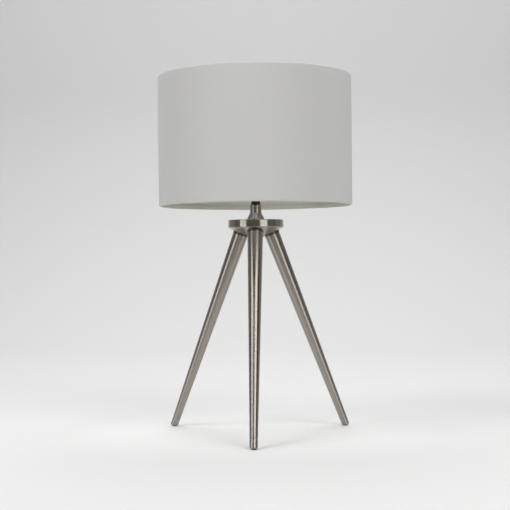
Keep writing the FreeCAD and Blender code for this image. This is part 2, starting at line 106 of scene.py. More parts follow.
class LampShadeSettings(bpy.types.PropertyGroup):
    """Fabric, liner and wire of the shade."""
    fabric: colour_prop("Fabric", "Colour of the woven cover", (0.642, 0.644, 0.634))
    # The hem colour is painted shade: it darkens the turned-in fabric inside the shade.
    hem: colour_prop("Hem", "Colour of the cover where it is glued and turned in", (0.53, 0.515, 0.455))
    liner: colour_prop("Liner", "Colour of the stiff liner", (0.61, 0.60, 0.54))
    wire: colour_prop("Wire", "Colour of the coated wire", (0.74, 0.74, 0.71))
    thread_pitch: length_prop("Thread pitch", "Distance between two threads of the weave", 0.62)
    fabric_thickness: length_prop("Fabric thickness", "Thickness of the cover", 0.45)
    roll_width: length_prop("Roll width", "Width of the fabric turned round a wire ring", 4.85)
    hem_height: length_prop("Hem height", "Fabric turned in at each edge", 6.0)
    seam_overlap: length_prop("Seam overlap", "Width of the lap at the back", 12.0)
    liner_thickness: length_prop("Liner thickness", "Thickness of the liner", 0.5)
    wire_radius: length_prop("Wire radius", "Radius of the frame's wire", 1.6)
    edge_wander: length_prop("Edge wander", "How far the rolled edge wanders by hand work", 0.22)


class LampHolderSettings(bpy.types.PropertyGroup):
    """Lampholder, its nut and the bulb."""
    plastic: colour_prop("Plastic", "Colour of the black moulding", (0.012, 0.012, 0.013))
    skirt_pitch: length_prop("Skirt pitch", "Pitch of the thread on the lampholder", 2.6)
    skirt_depth: length_prop("Skirt thread depth", "Height of that thread", 0.22)
    cap_pitch: length_prop("Bulb cap pitch", "Pitch of the rolled thread on the bulb", 3.63)
    cap_depth: length_prop("Bulb cap thread depth", "Depth of the rolled thread", 0.8)
    nut_ribs: bpy.props.IntProperty(
        name="Nut ribs", description="Ribs round the grip of the shade nut", default=48, min=3)


class LampStageSettings(bpy.types.PropertyGroup):
    """Floor, backdrop, curtain and lights."""
    floor: colour_prop("Floor", "Colour of the floor by the lamp", (0.845, 0.845, 0.845))
    # The floor middle colour is a painted pool of light under the lamp, against the shadow that the lamp
    # casts there.
    floor_painted_light: colour_prop("Floor middle", "Colour of the floor under the lamp", (0.92, 0.92, 0.92))
    # The wall colour is painted shade: the backdrop greys towards its top as if less light reached it.
    wall: colour_prop("Wall", "Colour at the top of the backdrop", (0.66, 0.66, 0.66))
    room: colour_prop("Room", "Light from the room all round", (0.25, 0.25, 0.25))
    curtain: colour_prop(
        "Curtain", "Colour of the curtain and of the floor in front of the paper", (0.066, 0.052, 0.042))
    strip_left_radiance: radiance_prop("Left strip", "Brightness of the tall light on the left", 2.232)
    strip_right_radiance: radiance_prop("Right strip", "Brightness of the tall light on the right", 2.736)
    key_radiance: radiance_prop("Key", "Brightness of the light high on the left", 4.0)
    front_radiance: radiance_prop("Front", "Brightness of the light high in front", 2.3)
    overhead_radiance: radiance_prop("Overhead", "Brightness of the wide light overhead", 2.03)


SETTINGS = {
    "lamp_metal": LampMetalSettings,
    "lamp_shade": LampShadeSettings,
    "lamp_holder": LampHolderSettings,
    "lamp_stage": LampStageSettings,
}


# ---------------------------------------------------------------------------
# Mesh helpers

def add_object(name, data):
    """A new object in the scene."""
    made = bpy.data.objects.new(name, data)
    bpy.context.scene.collection.objects.link(made)
    return made


def mesh_object(name, bm, material):
    """Turn a bmesh into an object with one material."""
    mesh = bpy.data.meshes.new(name)
    bm.to_mesh(mesh)
    bm.free()
    mesh.materials.append(material)
    return add_object(name, mesh)


def keep_mesh(name, bm, body, material, replaced=()):
    """Turn a bmesh into a smooth piece with crisp edges that rides on a body."""
    bm.normal_update()
    for edge in bm.edges:
        if len(edge.link_faces) == 2 and edge.calc_face_angle() > SHARP_ANGLE:
            edge.smooth = False
    for face in bm.faces:
        face.smooth = True
    piece = mesh_object(name, bm, material)
    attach(piece, body)
    if replaced:
        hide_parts(*replaced)
    return piece


def turned_mesh(bm, profile, steps, place=None):
    """Sweep a closed profile of (radius, height) about Z.

    place(angle, radius, height, number) may move a point; number counts along the profile.
    """
    rings = []
    for index in range(steps):
        angle = TURN * index / steps
        ring = []
        for number, (radius, height) in enumerate(profile):
            if place:
                radius, height = place(angle, radius, height, number)
            ring.append(bm.verts.new((radius * math.sin(angle), -radius * math.cos(angle), height)))
        rings.append(ring)
    for ring, following in zip(rings, rings[1:] + rings[:1]):
        for low in range(len(profile)):
            high = (low + 1) % len(profile)
            bm.faces.new((ring[low], following[low], following[high], ring[high]))
    bmesh.ops.recalc_face_normals(bm, faces=bm.faces)
    return bm


def capped_mesh(bm, sections, steps):
    """Join rings from foot to head and close both ends; a section is (place, radius, height)."""
    rings = []
    for place, radius, height in sections:
        rings.append([bm.verts.new(place(TURN * index / steps, radius, height)) for index in range(steps)])
    for lower, upper in zip(rings, rings[1:]):
        for index in range(steps):
            after = (index + 1) % steps
            bm.faces.new((lower[index], lower[after], upper[after], upper[index]))
    bm.faces.new(rings[0][::-1])
    bm.faces.new(rings[-1])
    bmesh.ops.recalc_face_normals(bm, faces=bm.faces)
    return bm


def stage_mesh(name, bm, material, smooth=False):
    """Turn a bmesh into a part of the stage, which isn't part of the lamp."""
    for face in bm.faces:
        face.smooth = smooth
    piece = mesh_object(name, bm, material)
    return piece


def arc_points(centre, radius, start, end, count):
    """Points on an arc in the (radius, height) plane, angles in degrees."""
    points = []
    for index in range(count + 1):
        angle = math.radians(start + (end - start) * index / count)
        points.append((centre[0] + radius * math.cos(angle), centre[1] + radius * math.sin(angle)))
    return points


def spread(low, high, count):
    """Evenly spaced values from low to high, with both ends."""
    return [low + (high - low) * index / count for index in range(count + 1)]


# ---------------------------------------------------------------------------
# Shader helpers

def new_material(name):
    """A material with only an output and a Principled BSDF."""
    material = bpy.data.materials.new(name)
    material.use_nodes = True
    tree = material.node_tree
    tree.nodes.clear()
    out = tree.nodes.new("ShaderNodeOutputMaterial")
    shader = tree.nodes.new("ShaderNodeBsdfPrincipled")
    tree.links.new(shader.outputs["BSDF"], out.inputs["Surface"])
    return material, tree, shader


def set_inputs(node, values):
    """Set inputs of a node by name."""
    for key, value in values.items():
        node.inputs[key].default_value = value


def add_node(tree, kind, values=None, **settings):
    """A node with its settings and the values of its inputs."""
    node = tree.nodes.new(kind)
    for key, value in settings.items():
        setattr(node, key, value)
    set_inputs(node, values or {})
    return node


def maths(tree, operation, first, second=None):
    """A Math node on sockets or numbers; gives its output."""
    node = tree.nodes.new("ShaderNodeMath")
    node.operation = operation
    for index, value in enumerate((first, second)):
        if value is None:
            continue
        if isinstance(value, (int, float)):
            node.inputs[index].default_value = value
        else:
            tree.links.new(value, node.inputs[index])
    return node.outputs[0]


def object_space(tree):
    """The shaded point in the object's own space."""
    return tree.nodes.new("ShaderNodeTexCoord").outputs["Object"]


def split_vector(tree, vector):
    """X, Y and Z of a vector socket, by name."""
    split = tree.nodes.new("ShaderNodeSeparateXYZ")
    tree.links.new(vector, split.inputs[0])
    return split.outputs


def axis_distance(tree, place):
    """Distance of a split vector from the Z axis."""
    squares = [maths(tree, "MULTIPLY", place[label], place[label]) for label in "XY"]
    return maths(tree, "SQRT", maths(tree, "ADD", *squares))


def noise_at(tree, vector, values):
    """Value of a Noise texture at a vector socket."""
    noise = add_node(tree, "ShaderNodeTexNoise", values)
    tree.links.new(vector, noise.inputs["Vector"])
    return noise.outputs["Fac"]


def ramp(tree, value, low, high, **settings):
    """Value that goes from 0 to 1 while another goes from low to high."""
    node = add_node(tree, "ShaderNodeMapRange", {"From Min": low, "From Max": high}, **settings)
    tree.links.new(value, node.inputs["Value"])
    return node.outputs["Result"]


def mapped(tree, vector, values):
    """A vector socket after a Mapping node."""
    node = add_node(tree, "ShaderNodeMapping", values, vector_type="POINT")
    tree.links.new(vector, node.inputs["Vector"])
    return node.outputs["Vector"]


def tone_times(tree, tone, factor):
    """A colour socket multiplied by a value socket."""
    product = add_node(tree, "ShaderNodeMix", {"Factor": 1.0}, data_type="RGBA", blend_type="MULTIPLY")
    tree.links.new(tone, product.inputs["A"])
    tree.links.new(factor, product.inputs["B"])
    return product.outputs["Result"]


def new_group(name, inputs, outputs):
    """A shader node group with named sockets: name to (socket type, default)."""
    group = bpy.data.node_groups.new(name, "ShaderNodeTree")
    for label, (kind, default) in inputs.items():
        socket = group.interface.new_socket(name=label, in_out="INPUT", socket_type=kind)
        socket.default_value = default
    for label, kind in outputs.items():
        group.interface.new_socket(name=label, in_out="OUTPUT", socket_type=kind)
    entry = group.nodes.new("NodeGroupInput")
    leave = group.nodes.new("NodeGroupOutput")
    return group, entry, leave


def place_group(tree, name, values):
    """Put the shared group of that name in a material and set its inputs."""
    return add_node(tree, "ShaderNodeGroup", values, node_tree=group_named(name))


FLOAT = "NodeSocketFloat"
COLOUR = "NodeSocketColor"
VECTOR = "NodeSocketVector"

QUARTER_TURN = 0.25
WORN_GAIN = 1.35
RUBBED_SHARE, RUBBED_LIFT = 0.6, 0.08
METAL_DUST = (0.45, 0.44, 0.42)
PLASTIC_DUST = (0.4, 0.39, 0.37)
FABRIC_CLOUD = (0.42, 0.40, 0.36)


def turned_brush_group():
    """Fine lines round an axis, as a lathe and a brush leave them, with a slow change of tone."""
    along_line, slow_scale = 1.6, 38.0
    line_share, slow_share, roughness_share = 0.75, 0.25, 0.3
    group, entry, leave = new_group(
        "Turned brushing",
        {"Vector": (VECTOR, (0, 0, 0)), "Pitch": (FLOAT, 0.35 * MM), "Tone": (COLOUR, (0.5, 0.5, 0.5, 1)),
         "Contrast": (FLOAT, 0.1), "Roughness": (FLOAT, 0.2)},
        {"Color": COLOUR, "Roughness": FLOAT, "Height": FLOAT})
    place = split_vector(group, entry.outputs["Vector"])
    radius = axis_distance(group, place)
    angle = maths(group, "ARCTAN2", place["X"], place["Y"])
    across = maths(group, "DIVIDE", maths(group, "ADD", place["Z"], radius), entry.outputs["Pitch"])
    lines_at = group.nodes.new("ShaderNodeCombineXYZ")
    group.links.new(maths(group, "MULTIPLY", angle, along_line), lines_at.inputs["X"])
    group.links.new(across, lines_at.inputs["Y"])
    lines = noise_at(group, lines_at.outputs[0], {"Scale": 1.0, "Detail": 3.0, "Roughness": 0.65})
    slow = noise_at(group, entry.outputs["Vector"], {"Scale": slow_scale, "Detail": 2.0, "Roughness": 0.5})
    both = maths(group, "ADD",
                 maths(group, "MULTIPLY", lines, line_share), maths(group, "MULTIPLY", slow, slow_share))
    swing = maths(group, "MULTIPLY", maths(group, "SUBTRACT", both, 0.5), entry.outputs["Contrast"])
    tone = tone_times(group, entry.outputs["Tone"], maths(group, "ADD", swing, 1.0))
    rough = maths(group, "ADD", entry.outputs["Roughness"], maths(group, "MULTIPLY", swing, roughness_share))
    group.links.new(tone, leave.inputs["Color"])
    group.links.new(rough, leave.inputs["Roughness"])
    group.links.new(lines, leave.inputs["Height"])
    return group


def edge_wear_group():
    """Mask of worn edges, broken up by noise."""
    edge_gain, patch_scale = 6.0, 240.0
    group, entry, leave = new_group(
        "Edge wear", {"Width": (FLOAT, 0.4 * MM), "Amount": (FLOAT, 0.5)}, {"Mask": FLOAT})
    bevel = add_node(group, "ShaderNodeBevel", samples=4)
    group.links.new(entry.outputs["Width"], bevel.inputs["Radius"])
    plain = group.nodes.new("ShaderNodeNewGeometry")
    dot = add_node(group, "ShaderNodeVectorMath", operation="DOT_PRODUCT")
    group.links.new(bevel.outputs["Normal"], dot.inputs[0])
    group.links.new(plain.outputs["Normal"], dot.inputs[1])
    edge = maths(group, "MULTIPLY", maths(group, "SUBTRACT", 1.0, dot.outputs["Value"]), edge_gain)
    patches = noise_at(group, object_space(group), {"Scale": patch_scale, "Detail": 4.0})
    broken = maths(group, "MULTIPLY", maths(group, "MULTIPLY", edge, patches), entry.outputs["Amount"])
    group.links.new(maths(group, "MINIMUM", broken, 1.0), leave.inputs["Mask"])
    return group


def dust_group():
    """Thin dust on faces that look up."""
    group, entry, leave = new_group("Dust", {"Amount": (FLOAT, 0.1)}, {"Mask": FLOAT})
    facing = group.nodes.new("ShaderNodeNewGeometry")
    up = maths(group, "MAXIMUM", split_vector(group, facing.outputs["Normal"])["Z"], 0.0)
    patches = noise_at(group, object_space(group), {"Scale": 60.0, "Detail": 6.0, "Roughness": 0.7})
    mask = maths(group, "MULTIPLY", maths(group, "MULTIPLY", up, patches), entry.outputs["Amount"])
    group.links.new(mask, leave.inputs["Mask"])
    return group


def weave_group():
    """Plain weave wound round Z: warp and weft threads with slubs, as a height and a tone."""
    slub_stretch, wave, crown_base, mean_height = 0.03, 0.35, 0.65, 0.8
    warp_seed, weft_seed = 3.0, 11.0
    always_positive = 4000.0
    group, entry, leave = new_group(
        "Plain weave",
        {"Radius": (FLOAT, 0.152), "Pitch": (FLOAT, 0.6 * MM), "Slub": (FLOAT, 0.35),
         "Tone": (COLOUR, (1, 1, 1, 1)), "Contrast": (FLOAT, 0.1)},
        {"Color": COLOUR, "Height": FLOAT})
    place = split_vector(group, object_space(group))
    angle = maths(group, "ARCTAN2", place["X"], maths(group, "MULTIPLY", place["Y"], -1.0))
    along_rim = maths(group, "MULTIPLY", angle, entry.outputs["Radius"])
    around = maths(group, "DIVIDE", along_rim, entry.outputs["Pitch"])
    up = maths(group, "DIVIDE", place["Z"], entry.outputs["Pitch"])

    def slubs(along, across, seed):
        """Slow change of a thread's thickness along its length."""
        thread = group.nodes.new("ShaderNodeCombineXYZ")
        group.links.new(maths(group, "MULTIPLY", along, slub_stretch), thread.inputs["X"])
        group.links.new(maths(group, "FLOOR", across), thread.inputs["Y"])
        thread.inputs["Z"].default_value = seed
        noise = noise_at(group, thread.outputs[0], {"Scale": 1.0, "Detail": 2.0})
        return maths(group, "MULTIPLY", maths(group, "SUBTRACT", noise, 0.5), entry.outputs["Slub"])

    def threads(across, along):
        """Rounded threads that pass over and under."""
        crown = maths(group, "ABSOLUTE", maths(group, "SINE", maths(group, "MULTIPLY", across, math.pi)))
        weave = maths(group, "SINE", maths(group, "MULTIPLY", along, math.pi))
        number = maths(group, "FLOOR", maths(group, "ADD", across, always_positive))
        odd = maths(group, "MULTIPLY", maths(group, "MODULO", number, 2.0), 2.0)
        side = maths(group, "SUBTRACT", odd, 1.0)
        over = maths(group, "MULTIPLY", maths(group, "MULTIPLY", weave, side), wave)
        return maths(group, "MULTIPLY", crown, maths(group, "ADD", over, crown_base))

    warp = maths(group, "ADD", threads(around, up), slubs(up, around, warp_seed))
    weft = maths(group, "ADD", threads(up, maths(group, "ADD", around, 1.0)), slubs(around, up, weft_seed))
    height = maths(group, "MAXIMUM", warp, weft)
    swing = maths(group, "MULTIPLY", maths(group, "SUBTRACT", height, mean_height), entry.outputs["Contrast"])
    tone = tone_times(group, entry.outputs["Tone"], maths(group, "ADD", swing, 1.0))
    group.links.new(tone, leave.inputs["Color"])
    group.links.new(height, leave.inputs["Height"])
    return group


def mould_grain_group():
    """Fine spark-eroded grain of moulded pieces, with a slow change of gloss."""
    slow_scale, gloss_swing = 70.0, 0.25
    group, entry, leave = new_group(
        "Mould grain", {"Scale": (FLOAT, 2500.0), "Roughness": (FLOAT, 0.35)},
        {"Roughness": FLOAT, "Height": FLOAT})
    where = object_space(group)
    grain = add_node(group, "ShaderNodeTexNoise", {"Detail": 2.0})
    group.links.new(entry.outputs["Scale"], grain.inputs["Scale"])
    group.links.new(where, grain.inputs["Vector"])
    slow = noise_at(group, where, {"Scale": slow_scale, "Detail": 3.0})
    swing = maths(group, "MULTIPLY", maths(group, "SUBTRACT", slow, 0.5), gloss_swing)
    group.links.new(maths(group, "ADD", entry.outputs["Roughness"], swing), leave.inputs["Roughness"])
    group.links.new(grain.outputs["Fac"], leave.inputs["Height"])
    return group


GROUP_MAKERS = {
    "brush": turned_brush_group,
    "wear": edge_wear_group,
    "dust": dust_group,
    "weave": weave_group,
    "grain": mould_grain_group,
}
groups = {}


def group_named(name):
    """The shared node group of that name, made on first use."""
    if name not in groups:
        groups[name] = GROUP_MAKERS[name]()
    return groups[name]


def link_bump(tree, shader, height, strength, distance):
    """Feed a height to the shader's normal through a Bump node."""
    bump = add_node(tree, "ShaderNodeBump", {"Strength": strength, "Distance": distance})
    tree.links.new(height, bump.inputs["Height"])
    tree.links.new(bump.outputs["Normal"], shader.inputs["Normal"])


def mix_colour(tree, mask, first, second):
    """Colour that goes from first, a socket or a constant, to second with a mask."""
    mix = add_node(tree, "ShaderNodeMix", data_type="RGBA")
    tree.links.new(mask, mix.inputs["Factor"])
    if isinstance(first, bpy.types.NodeSocket):
        tree.links.new(first, mix.inputs["A"])
    else:
        mix.inputs["A"].default_value = (*first, 1)
    mix.inputs["B"].default_value = (*second, 1)
    return mix.outputs["Result"]


def brushed_metal(name, colour, roughness, pitch, lean=None, contrast=0.2, bump=0.02, smear=0.97):
    """Brushed plate whose lines run round Z, or round a leg where lean is its matrix.

    The brushing smears reflections across its lines, so along the leg or along the turned profile.
    """
    material, tree, shader = new_material(name)
    vector = object_space(tree)
    shader.inputs["Anisotropic"].default_value = smear
    if lean is None:
        round_axis = add_node(tree, "ShaderNodeTangent", direction_type="RADIAL", axis="Z")
        tree.links.new(round_axis.outputs["Tangent"], shader.inputs["Tangent"])
        shader.inputs["Anisotropic Rotation"].default_value = QUARTER_TURN
    else:
        inverse = lean.inverted()
        vector = mapped(tree, vector, {
            "Location": inverse.to_translation(), "Rotation": inverse.to_euler("XYZ")})
        axis = add_node(tree, "ShaderNodeCombineXYZ", dict(zip("XYZ", lean.to_3x3() @ Vector((0, 0, 1)))))
        outward = add_node(tree, "ShaderNodeVectorTransform", vector_type="VECTOR",
                           convert_from="OBJECT", convert_to="WORLD")
        tree.links.new(axis.outputs[0], outward.inputs[0])
        tree.links.new(outward.outputs[0], shader.inputs["Tangent"])
    brush = place_group(tree, "brush", {
        "Pitch": pitch, "Tone": (*colour, 1), "Contrast": contrast, "Roughness": roughness})
    tree.links.new(vector, brush.inputs["Vector"])
    wear = place_group(tree, "wear", {"Width": 0.35 * MM, "Amount": 0.8})
    bright = tuple(min(1.0, value * WORN_GAIN) for value in colour)
    worn = mix_colour(tree, wear.outputs["Mask"], brush.outputs["Color"], bright)
    dust = place_group(tree, "dust", {"Amount": 0.08})
    dusty = mix_colour(tree, dust.outputs["Mask"], worn, METAL_DUST)
    tree.links.new(dusty, shader.inputs["Base Color"])
    tree.links.new(brush.outputs["Roughness"], shader.inputs["Roughness"])
    shader.inputs["Metallic"].default_value = 1.0
    link_bump(tree, shader, brush.outputs["Height"], bump, 0.02 * MM)
    return material


def add_grain(tree, shader, tone, values, coat, bump, depth):
    """Give a surface its colour, the gloss and height of its grain, and its coat."""
    grain = place_group(tree, "grain", values)
    tree.links.new(tone, shader.inputs["Base Color"])
    tree.links.new(grain.outputs["Roughness"], shader.inputs["Roughness"])
    shader.inputs["Coat Weight"].default_value = coat
    link_bump(tree, shader, grain.outputs["Height"], bump, depth)


def moulding(name, colour, roughness, grain_scale=2500.0, bump=0.12, coat=0.0):
    """Moulded plastic, rubber, ceramic or coated wire with its grain, worn edges and a little dust."""
    material, tree, shader = new_material(name)
    wear = place_group(tree, "wear", {"Width": 0.3 * MM, "Amount": 0.35})
    dust = place_group(tree, "dust", {"Amount": 0.12})
    rubbed = [value * RUBBED_SHARE + RUBBED_LIFT for value in colour]
    plain = mix_colour(tree, wear.outputs["Mask"], colour, rubbed)
    dusty = mix_colour(tree, dust.outputs["Mask"], plain, PLASTIC_DUST)
    add_grain(tree, shader, dusty, {"Scale": grain_scale, "Roughness": roughness}, coat, bump, 0.03 * MM)
    return material


def woven_fabric(settings, radius):
    """Off-white woven cover of the shade, darker on the turned-in hem as painted shade for the inside of the
    shade.
    """
    hem_shade_from, hem_shade_full, cloud_share = 1.4 * MM, 3.0 * MM, 0.05
    material, tree, shader = new_material("shade_fabric")
    weave = place_group(tree, "weave", {
        "Radius": radius, "Pitch": settings.thread_pitch, "Slub": 0.5,
        "Tone": (*settings.fabric, 1), "Contrast": 0.16})
    where = object_space(tree)
    cloud = noise_at(tree, where, {"Scale": 9.0, "Detail": 3.0})
    tone = mix_colour(tree, maths(tree, "MULTIPLY", cloud, cloud_share), weave.outputs["Color"], FABRIC_CLOUD)
    distance = axis_distance(tree, split_vector(tree, where))
    # Painted shade: the fabric turned in round the rings is darker.
    painted_hem_shade = ramp(tree, distance, radius - hem_shade_from, radius - hem_shade_full)
    tone = mix_colour(tree, painted_hem_shade, tone, tuple(settings.hem))
    tree.links.new(tone, shader.inputs["Base Color"])
    set_inputs(shader, {
        "Roughness": 0.9, "Sheen Weight": 0.08, "Sheen Roughness": 0.5, "Specular IOR Level": 0.2})
    link_bump(tree, shader, weave.outputs["Height"], 0.6, 0.12 * MM)
    return material


def clouded_white(name, colours, cloud_scale, grain_values, coat, bump, depth):
    """Smooth white piece whose tone wanders a little between two colours."""
    material, tree, shader = new_material(name)
    cloud = noise_at(tree, object_space(tree), {"Scale": cloud_scale, "Detail": 2.0})
    add_grain(tree, shader, mix_colour(tree, cloud, *colours), grain_values, coat, bump, depth)
    return material


def smooth_liner(settings):
    """White styrene sheet with a soft gloss."""
    cloud_tone = 0.93
    shaded = [value * cloud_tone for value in settings.liner]
    return clouded_white("shade_liner", (settings.liner, shaded), 14.0, {"Scale": 900.0, "Roughness": 0.42},
                         coat=0.0, bump=0.1, depth=0.05 * MM)


def coated_glass():
    """Glass of the bulb, coated white on the inside."""
    colours = (0.86, 0.86, 0.84), (0.80, 0.80, 0.78)
    return clouded_white("frosted_glass", colours, 30.0, {"Scale": 1800.0, "Roughness": 0.3},
                         coat=0.3, bump=0.02, depth=0.01 * MM)


# ---------------------------------------------------------------------------
# Legs, and pieces that carry over

def leg_matrix(settings, side):
    """Matrix from a leg's own upright space, with its foot at the origin, to the lamp."""
    turn = Matrix.Rotation(math.radians(LEG_AZIMUTHS[side]), 4, "Z")
    out = Matrix.Translation((settings.foot_circle, 0, 0))
    lean = Matrix.Rotation(-settings.splay, 4, "Y")
    return turn @ out @ lean


def paint(node, material):
    """Give a carried-over node its material."""
    mesh = nodes[node].data
    mesh.materials.clear()
    mesh.materials.append(material)


# ---------------------------------------------------------------------------
# Operators

class LAMP_OT_stand(bpy.types.Operator):
    """Brush the legs, hub and neck, and make the ends of the feet and the rings at the tops of the legs"""
    bl_idname = "lamp.stand"
    bl_label = "Stand"

    def execute(self, context):
        settings = context.scene.lamp_metal
        colour = tuple(settings.nickel)
        pitch, tip_gain = settings.brush_pitch, 1.08
        tip = tuple(value * tip_gain for value in colour)
        turned = brushed_metal("nickel_turned", colour, 0.25, pitch, smear=0.95)
        for node in ("hub", "neck"):
            paint(node, turned)
        rubber = moulding("pad_rubber", (0.13, 0.125, 0.115), 0.75, grain_scale=1400.0, bump=0.3)
        steel = brushed_metal("turned_steel", (0.48, 0.48, 0.48), 0.3, pitch)
        zinc = brushed_metal("zinc_plate", (0.62, 0.63, 0.65), 0.32, pitch)
        for side in LEG_AZIMUTHS:
            lean = leg_matrix(settings, side)
            paint("leg_" + side, brushed_metal("nickel_leg_" + side, colour, 0.28, pitch, lean))
            nickel = brushed_metal("nickel_tip_" + side, tip, 0.27, pitch, lean)
            self.add_foot(settings, side, lean, nickel, rubber)
            paint("leg_plug_" + side, steel)
            # Painted shade: a dark metal for the shadowed gap at the top of each leg.
            gap_shade_metal = brushed_metal("painted_shade_ring_" + side, (0.11, 0.10, 0.09), 0.34, pitch, lean)
            self.add_washer(settings, side, lean, gap_shade_metal)
        for node in ("leg_studs", "threaded_pipe", "pipe_washer", "pipe_nut", "collar_grub_screw"):
            paint(node, zinc)
        return {"FINISHED"}

    def add_foot(self, settings, side, lean, nickel, rubber):
        """Tip with a slanted end, and the domed rubber glide in it that touches the table."""
        radius, rounding = settings.tip_radius, settings.foot_rounding
        rim, dome, stem = settings.glide_radius, settings.glide_dome, settings.glide_stem
        slant = math.tan(settings.foot_slant)
        gap, stem_height = 0.05 * MM, 4.0 * MM
        dome_steps, corner_steps, glide_round = 8, 8, 64

        def square(angle, r, along):
            """Section square to the leg."""
            return lean @ Vector((r * math.cos(angle), r * math.sin(angle), along))

        def slanted(angle, r, along):
            """Section turned towards level."""
            return square(angle, r, along - r * math.cos(angle) * slant)

        edge = math.asin(rim / dome)
        glide = [(dome * math.sin(a), dome * (1 - math.cos(a)))
                 for a in spread(edge / (dome_steps + 1), edge, dome_steps)]
        face = glide[-1][1] + settings.glide_step
        glide += [(rim, face - gap), (stem, face - gap), (stem, face + stem_height)]
        lowest = min(slanted(angle, *point).z for point in glide for angle in spread(0, TURN, glide_round))
        rise = -lowest / math.cos(settings.splay)
        bm = capped_mesh(bmesh.new(), [(slanted, r, along + rise) for r, along in glide], glide_round)
        keep_mesh("foot_glide_" + side, bm, "stand", rubber, ("foot_pad_" + side,))
        face += rise
        tip = [(slanted, stem + gap, face + stem_height + gap), (slanted, stem + gap, face)]
        corner = arc_points((radius - rounding, face + rounding), rounding, -90, 0, corner_steps)
        tip += [(slanted, r, along) for r, along in corner]
        joint, chamfer = settings.tip_height, 0.4 * MM
        spigot, spigot_top, lead = 4.65 * MM, 36.0 * MM, 0.8 * MM
        tip += [(square, radius, joint - chamfer), (square, radius - chamfer, joint), (square, spigot, joint),
                (square, spigot, spigot_top - lead), (square, spigot - lead, spigot_top)]
        bm = capped_mesh(bmesh.new(), tip, SMALL_ROUND)
        keep_mesh("foot_end_" + side, bm, "stand", nickel, ("foot_tip_" + side,))

    def add_washer(self, settings, side, lean, gap_shade_metal):
        """Dark ring between the top of a leg and its seat in the hub, painted shade for the shadowed gap
        there.
        """
        wall, lip = 0.6 * MM, 0.25 * MM
        outside = settings.washer_radius
        inside = outside - wall
        foot = settings.washer_foot
        head = foot + settings.washer_height
        profile = [(inside, foot), (outside - lip, foot)]
        profile += arc_points((outside - lip, foot + lip), lip, -60, 0, 4)
        profile += arc_points((outside - lip, head - lip), lip, 0, 90, 5)
        profile += [(inside, head)]
        bm = turned_mesh(bmesh.new(), profile, SMALL_ROUND)
        bmesh.ops.transform(bm, matrix=lean, verts=bm.verts)
        keep_mesh("leg_washer_" + side, bm, "stand", gap_shade_metal)


class LAMP_OT_shade_cover(bpy.types.Operator):
    """Make the woven cover, rolled over both wire rings and lapped at the back"""
    bl_idname = "lamp.shade_cover"
    bl_label = "Shade cover"

    def execute(self, context):
        settings = context.scene.lamp_shade
        low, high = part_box("shade_cover")
        radius = high[0]
        bottom, top = low[2], high[2]
        roll = settings.roll_width / 2
        thick = settings.fabric_thickness
        hem = settings.hem_height
        roll_steps, wall_steps = 16, 24

        def half(edge, inward):
            """Outside wall, roll and hem at one edge, outer skin first and inner skin back."""
            centre = (radius - roll, edge + inward * roll)
            outer = arc_points(centre, roll, 0, -180 * inward, roll_steps)
            inner = arc_points(centre, roll - thick, -180 * inward, 0, roll_steps)
            end = edge + inward * hem
            tail_out = (radius - 2 * roll, end)
            tail_in = (radius - 2 * roll + thick, end)
            return outer + [tail_out, tail_in] + inner

        below = half(bottom, 1)
        above = half(top, -1)[::-1]
        wall_low = bottom + roll
        wall_high = top - roll
        inner_wall = [(radius - thick, z) for z in spread(wall_low, wall_high, wall_steps)[1:-1]]
        outer_wall = [(radius, z) for z in spread(wall_high, wall_low, wall_steps)[1:-1]]
        profile = below + inner_wall + above + outer_wall
        lap = settings.seam_overlap / radius
        rise_gain, fall_gain = 5, 14
        wander, reach = settings.edge_wander, 3 * hem
        slow_waves, fast_waves, wave_start = 5, 13, 1.3

        def place(angle, r, z, number):
            """Lap the cloth at the back and let the rolled edges wander a little."""
            from_back = (angle - math.pi + lap / 2) / lap
            lift = 0.0
            if 0 <= from_back <= 1:
                lift = thick * min(1.0, from_back * rise_gain, (1 - from_back) * fall_gain)
            outside = r > radius - thick / 2
            r += lift if outside else 0.0
            edge = bottom if z < (bottom + top) / 2 else top
            near = max(0.0, 1 - abs(z - edge) / reach)
            waves = math.sin(slow_waves * angle + wave_start) + math.sin(fast_waves * angle) * 0.5
            z += wander * near * 0.5 * waves
            return r, z

        bm = turned_mesh(bmesh.new(), profile, WIDE_ROUND, place)
        material = woven_fabric(settings, radius)
        piece = keep_mesh("shade_fabric", bm, "shade", material, ("shade_cover",))
        return {"FINISHED"}


class LAMP_OT_shade_liner(bpy.types.Operator):
    """Make the stiff liner, lapped at the back"""
    bl_idname = "lamp.shade_liner"
    bl_label = "Shade liner"

    def execute(self, context):
        settings = context.scene.lamp_shade
        low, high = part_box("shade_liner")
        outside = high[0]
        inside = outside - settings.liner_thickness
        clear = settings.roll_width / 2 - settings.fabric_thickness
        rows, ramp = 12, 12
        heights = spread(low[2] + clear, high[2] - clear, rows)
        profile = [(outside, z) for z in heights] + [(inside, z) for z in reversed(heights)]
        lap = settings.seam_overlap / outside

        def place(angle, r, z, number):
            """Second layer on the inside of the lap."""
            from_back = (angle - math.pi + lap) / lap
            if number >= len(heights) and 0 <= from_back <= 1:
                r -= settings.liner_thickness * min(1.0, from_back * ramp, (1 - from_back) * ramp)
            return r, z

        bm = turned_mesh(bmesh.new(), profile, WIDE_ROUND, place)
        keep_mesh("shade_lining", bm, "shade", smooth_liner(settings), ("shade_liner",))
        return {"FINISHED"}


